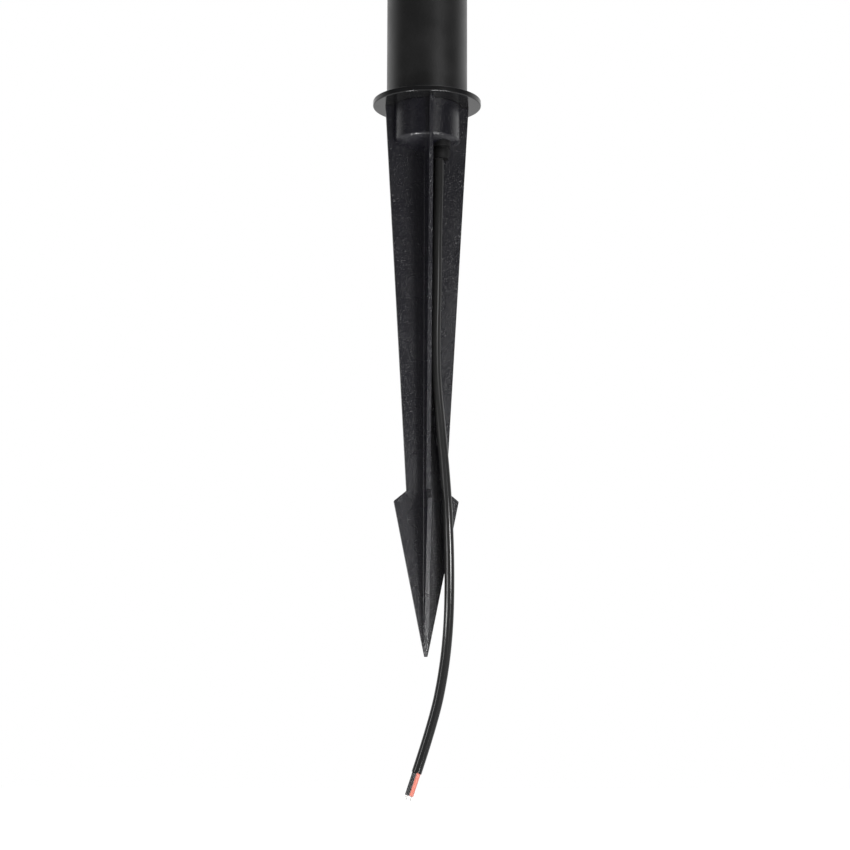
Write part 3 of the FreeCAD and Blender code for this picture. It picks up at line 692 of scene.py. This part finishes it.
    def surroundings(self, context, settings):
        """White all round for the camera. The room's front side, behind the camera, is dark."""
        world = bpy.data.worlds.new("Studio")
        context.scene.world = world
        world.use_nodes = True
        nodes, links = world.node_tree.nodes, world.node_tree.links
        white = nodes["Background"]
        white.inputs["Color"].default_value = (1, 1, 1, 1)
        way = nodes.new("ShaderNodeTexCoord")
        split = nodes.new("ShaderNodeSeparateXYZ")
        swing = nodes.new("ShaderNodeVectorRotate")
        swing.rotation_type = "Z_AXIS"
        swing.inputs["Angle"].default_value = settings.swing
        links.new(way.outputs["Generated"], swing.inputs["Vector"])
        links.new(swing.outputs["Vector"], split.inputs[0])
        behind = self.ramp(nodes, links, split.outputs["Y"], ROOM_RAMP, (settings.front, 1.0))
        below = self.ramp(nodes, links, split.outputs["Z"], HORIZON_RAMP, (1.0, settings.front))
        shade = nodes.new("ShaderNodeMath")
        shade.operation = "MAXIMUM"
        links.new(behind, shade.inputs[0])
        links.new(below, shade.inputs[1])
        path = nodes.new("ShaderNodeLightPath")
        level = nodes.new("ShaderNodeMix")
        level.inputs["B"].default_value = 1.0
        links.new(path.outputs["Is Camera Ray"], level.inputs["Factor"])
        links.new(shade.outputs[0], level.inputs["A"])
        links.new(level.outputs["Result"], white.inputs["Strength"])

    def ramp(self, nodes, links, value, limits, levels):
        """Smooth step between two levels."""
        ramp = nodes.new("ShaderNodeMapRange")
        ramp.interpolation_type = "SMOOTHSTEP"
        ramp.inputs["From Min"].default_value, ramp.inputs["From Max"].default_value = limits
        ramp.inputs["To Min"].default_value, ramp.inputs["To Max"].default_value = levels
        links.new(value, ramp.inputs["Value"])
        return ramp.outputs["Result"]


class BOLLARD_OT_cable(bpy.types.Operator):
    """Hangs the supply cable from its grommet, with two stripped cores at its end"""

    bl_idname = "bollard.cable"
    bl_label = "Supply cable"

    def execute(self, context):
        scene = context.scene
        sizes = scene.bollard_sizes
        leaves = cable_leaves(sizes)
        route = [leaves, leaves - Vector((0, 0, CABLE_STRAIGHT * MM))]
        route += [Vector(p) * MM for p in CABLE_ROUTE]
        sheath = smooth_line("supply_cable_sheath", route, sizes.cable, cable_sheath(scene))
        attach(sheath, "spike")
        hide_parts("supply_cable")
        ends = [
            edged("core_black", black_insulation(scene), "spike", CORE_EDGE * MM),
            edged("core_red", red_insulation(scene), "spike", CORE_EDGE * MM),
            self.strands(scene, (route[-1] - route[-2]).normalized()),
        ]
        return {"FINISHED"}

    def strands(self, scene, ahead):
        """Seven twisted strands in the place of each bare conductor."""
        strand = scene.bollard_sizes.strand
        shape = bmesh.new()
        for node in ("core_black", "core_red"):
            low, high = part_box(node)
            tip = (low + high) / 2 + ahead * self.reach(node, ahead)
            place = Matrix.Translation(tip) @ ahead.to_track_quat("Z", "Y").to_matrix().to_4x4()
            for i in range(STRANDS):
                across = 0 if i == STRANDS - 1 else strand
                turn = Matrix.Rotation(math.radians(360 / (STRANDS - 1) * i), 4, "Z")
                start = place @ turn @ Matrix.Translation((across, 0, STRAND_START * MM))
                ring = bmesh.ops.create_circle(
                    shape, cap_ends=True, radius=strand / 2, segments=STRAND_SIDES, matrix=start,
                )
                faces = list({f for v in ring["verts"] for f in v.link_faces})
                bmesh.ops.spin(
                    shape, geom=faces, cent=tip, axis=ahead, angle=STRAND_TWIST, steps=STRAND_STEPS,
                    dvec=ahead * (STRAND_LENGTH * MM / STRAND_STEPS), use_merge=False,
                )
        bmesh.ops.recalc_face_normals(shape, faces=shape.faces)
        mesh = smooth_mesh("conductor_strands", shape)
        piece = add_piece(
            "conductor_strands", mesh, tinned_copper(scene), ["bare_conductors"],
        )
        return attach(piece, "spike")

    def reach(self, node, ahead):
        """Distance from the middle of a core to its cut end."""
        low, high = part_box(node)
        middle = (low + high) / 2
        return max((v.co - middle).dot(ahead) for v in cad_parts[node].data.vertices)


class BOLLARD_OT_lead(bpy.types.Operator):
    """Runs the lead from the grommet up inside the pole"""

    bl_idname = "bollard.lead"
    bl_label = "Inner lead"

    def execute(self, context):
        scene = context.scene
        leaves = cable_leaves(scene.bollard_sizes)
        held = Vector((leaves.x, leaves.y, LEAD_HELD_TO * MM))
        route = [leaves, held] + [Vector(p) * MM for p in LEAD_ROUTE]
        line = smooth_line("inner_lead_line", route, scene.bollard_sizes.cable, cable_sheath(scene))
        shape = bmesh.new()
        made = bpy.data.meshes.new_from_object(line)
        shape.from_mesh(made)
        bpy.data.objects.remove(line)
        bpy.data.meshes.remove(made)
        bmesh.ops.remove_doubles(shape, verts=shape.verts, dist=MERGE)
        bmesh.ops.recalc_face_normals(shape, faces=shape.faces)
        mesh = smooth_mesh("inner_lead_sheath", shape)
        piece = add_piece("inner_lead_sheath", mesh, cable_sheath(scene), ["inner_lead"])
        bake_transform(piece)
        return {"FINISHED"}


class BOLLARD_OT_spike(bpy.types.Operator):
    """Rounds the edges of the moulded spike and gives it its grain"""

    bl_idname = "bollard.spike"
    bl_label = "Ground spike"

    def execute(self, context):
        scene = context.scene
        sizes = scene.bollard_sizes
        shape = copied("ground_spike")
        rounded(shape, self.lower_rim(shape), sizes.hub_round, 4)
        rounded(shape, outward_edges(shape), sizes.arris, 3)
        mesh = smooth_mesh("ground_spike_edged", shape)
        piece = add_piece(
            "ground_spike_edged", mesh, moulded_plastic(scene), ["ground_spike"],
        )
        true_faces(piece)
        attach(piece, "spike")
        keep_node("spigot_seal", soft_rubber(scene))
        return {"FINISHED"}

    def lower_rim(self, shape):
        """Edges round the hub's lower rim."""
        rims = [e for e in outward_edges(shape) if all(self.on_hub(v.co) for v in e.verts)]
        low = min(v.co.z for e in rims for v in e.verts)
        return [e for e in rims if max(v.co.z for v in e.verts) < low + RIM_BAND * MM]

    def on_hub(self, point):
        """Whether a point lies on the hub's outer face."""
        return abs(math.hypot(point.x, point.y) - HUB_RADIUS * MM) < HUB_NEAR * MM


class BOLLARD_OT_grommet(bpy.types.Operator):
    """Rounds the ribs of the rubber grommet and gives the tie on the lead above it its nylon"""

    bl_idname = "bollard.grommet"
    bl_label = "Grommet"

    def execute(self, context):
        scene = context.scene
        low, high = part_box("cable_grommet")
        shape = copied("cable_grommet")
        ribs = [e for e in outward_edges(shape, RIB_TURN) if self.on_rib(e, low, high)]
        rounded(shape, ribs, RIB_ROUND * MM, 4)
        mesh = smooth_mesh("grommet_ribs", shape)
        piece = add_piece("grommet_ribs", mesh, soft_rubber(scene), ["cable_grommet"])
        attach(piece, "spike")
        keep_node("lead_tie", white_nylon(scene))
        return {"FINISHED"}

    def on_rib(self, edge, low, high):
        """Whether an edge runs round one of the two ribs below the hub."""
        middle = (low + high) / 2
        points = [v.co for v in edge.verts]
        level = abs(points[0].z - points[1].z) < MERGE
        out = min(math.hypot(p.x - middle.x, p.y - middle.y) for p in points) > RIB_RADIUS * MM
        return level and out and points[0].z < low.z + RIB_STRETCH * MM


class BOLLARD_OT_foot(bpy.types.Operator):
    """Finishes the pole, the base flange and the grub screw"""

    bl_idname = "bollard.foot"
    bl_label = "Pole and flange"

    def execute(self, context):
        scene = context.scene
        edge = scene.bollard_sizes.turned_edge
        edged("pole_tube", powder_coat(scene), "pole", edge)
        edged("base_flange", satin_coat(scene), "flange", edge)
        edged("lock_screw", stainless(scene), "pole", edge / 2)
        return {"FINISHED"}


class BOLLARD_OT_head(bpy.types.Operator):
    """Finishes the head: base, seals, diffuser, reflector, cap and screws"""

    bl_idname = "bollard.head"
    bl_label = "Head"

    def execute(self, context):
        scene = context.scene
        edge = scene.bollard_sizes.turned_edge
        edged("head_base", powder_coat(scene), "pole", edge)
        edged("head_cap", powder_coat(scene), "pole", edge)
        edged("diffuser", opal_plastic(scene), "pole", edge)
        edged("cap_screws", stainless(scene), "pole", edge / 2)
        keep_node("base_seal", soft_rubber(scene))
        keep_node("wire_bush", soft_rubber(scene))
        keep_node("lower_gasket", silicone(scene))
        keep_node("upper_gasket", silicone(scene))
        keep_node("reflector", gloss_white(scene))
        keep_node("tie_rods", stainless(scene))
        return {"FINISHED"}


class BOLLARD_OT_inside(bpy.types.Operator):
    """Finishes the electrical parts inside the pole and the head"""

    bl_idname = "bollard.inside"
    bl_label = "Electrical parts"

    def execute(self, context):
        finishes = {
            white_nylon: ["terminal_block", "driver_straps"],
            stainless: ["strip_screws", "board_screws"],
            potting_case: ["driver_module"],
            plain_aluminium: ["driver_strip"],
            red_insulation: ["driver_wires", "board_wire_red"],
            black_insulation: ["board_wire_black"],
            board_mask: ["led_board"],
            phosphor: ["led_chips"],
        }
        for finish, nodes in finishes.items():
            for node in nodes:
                keep_node(node, finish(context.scene))
        return {"FINISHED"}


class BOLLARD_PT_panel(bpy.types.Panel):
    """Lists the pieces of the bollard light"""

    bl_label = "Bollard light"
    bl_idname = "BOLLARD_PT_panel"
    bl_space_type = "VIEW_3D"
    bl_region_type = "UI"
    bl_category = "Bollard"

    def draw(self, context):
        for operator in OPERATORS:
            self.layout.operator(operator.bl_idname)


SETTINGS = [BollardStage, BollardFinish, BollardSizes]
OPERATORS = [
    BOLLARD_OT_stage,
    BOLLARD_OT_cable,
    BOLLARD_OT_lead,
    BOLLARD_OT_spike,
    BOLLARD_OT_grommet,
    BOLLARD_OT_foot,
    BOLLARD_OT_head,
    BOLLARD_OT_inside,
]
CLASSES = SETTINGS + OPERATORS + [BOLLARD_PT_panel]


def register():
    for cls in CLASSES:
        bpy.utils.register_class(cls)
    bpy.types.Scene.bollard_stage = bpy.props.PointerProperty(type=BollardStage)
    bpy.types.Scene.bollard_finish = bpy.props.PointerProperty(type=BollardFinish)
    bpy.types.Scene.bollard_sizes = bpy.props.PointerProperty(type=BollardSizes)


def unregister():
    del bpy.types.Scene.bollard_sizes
    del bpy.types.Scene.bollard_finish
    del bpy.types.Scene.bollard_stage
    for cls in reversed(CLASSES):
        bpy.utils.unregister_class(cls)


def main():
    register()
    bpy.ops.bollard.stage()
    bpy.ops.bollard.cable()
    bpy.ops.bollard.lead()
    bpy.ops.bollard.spike()
    bpy.ops.bollard.grommet()
    bpy.ops.bollard.foot()
    bpy.ops.bollard.head()
    bpy.ops.bollard.inside()


if __name__ == "__main__":
    main()
